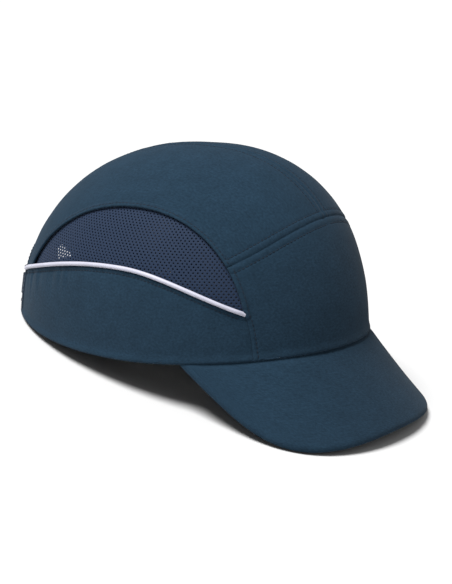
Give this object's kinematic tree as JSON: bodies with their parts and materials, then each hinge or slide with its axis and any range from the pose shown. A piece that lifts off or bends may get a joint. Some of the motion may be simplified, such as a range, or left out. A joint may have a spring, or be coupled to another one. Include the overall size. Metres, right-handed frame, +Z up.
{
  "type": "bump cap",
  "caption": "Fabric-covered bump cap with mesh sides, curved peak, hard inner shell, foam pads, sweatband and rear webbing adjuster.",
  "frame": {"origin": "bottom centre of the whole cap's box, where the cap stands on its peak and its rear hem", "axes": "+Z up, -Y towards the front where the peak is, +X towards the wearer's left"},
  "size_m": [0.18, 0.2692, 0.1351],
  "materials": {
    "cover_fabric": "brushed navy twill",
    "side_mesh": "knitted mesh with small staggered holes",
    "piping": "smooth pale reflective piping",
    "binding_tape": "folded binding tape",
    "peak_board": "stiff board",
    "shell_plastic": "moulded plastic, fine grain",
    "foam": "closed-cell foam",
    "sweatband_cloth": "towelling",
    "label_cloth": "blank woven label",
    "webbing": "ribbed webbing",
    "buckle_plastic": "moulded plastic",
    "pin_steel": "plain steel"
  },
  "bodies": {
    "root": {"front_panel": "cover_fabric", "crown_half_right": "cover_fabric", "crown_half_left": "cover_fabric", "side_panel_right": "cover_fabric", "side_panel_left": "cover_fabric", "side_mesh_right": "side_mesh", "side_mesh_left": "side_mesh", "piping_right": "piping", "piping_left": "piping", "arch_binding": "binding_tape", "centre_seam_tape": "binding_tape", "cross_seam_tape": "binding_tape", "peak_top_cover": "cover_fabric", "peak_under_cover": "cover_fabric", "peak_board": "peak_board", "hard_shell": "shell_plastic", "foam_crown": "foam", "foam_front": "foam", "foam_side_right": "foam", "foam_side_left": "foam", "foam_rear": "foam", "sweatband": "sweatband_cloth", "inner_label": "label_cloth", "buckle_frame": "buckle_plastic", "buckle_pin": "pin_steel", "buckle_tab": "webbing"},
    "strap": {"adjuster_strap": "webbing", "strap_end_tip": "buckle_plastic"},
    "lever": {"buckle_lever": "buckle_plastic"}
  },
  "joints": [
    {"name": "strap_slide", "type": "hinge", "parent": "root", "child": "strap", "pos_m": [0, 0.05417, 0.0057], "axis": [0, 0.2275, 0.9738], "range_deg": [-7, 20]},
    {"name": "lever_flip", "type": "hinge", "parent": "root", "child": "lever", "pos_m": [-0.02702, 0.12628, 0.01288], "axis": [0.0398, 0.1062, 0.9935], "range_deg": [0, 85]}
  ]
}
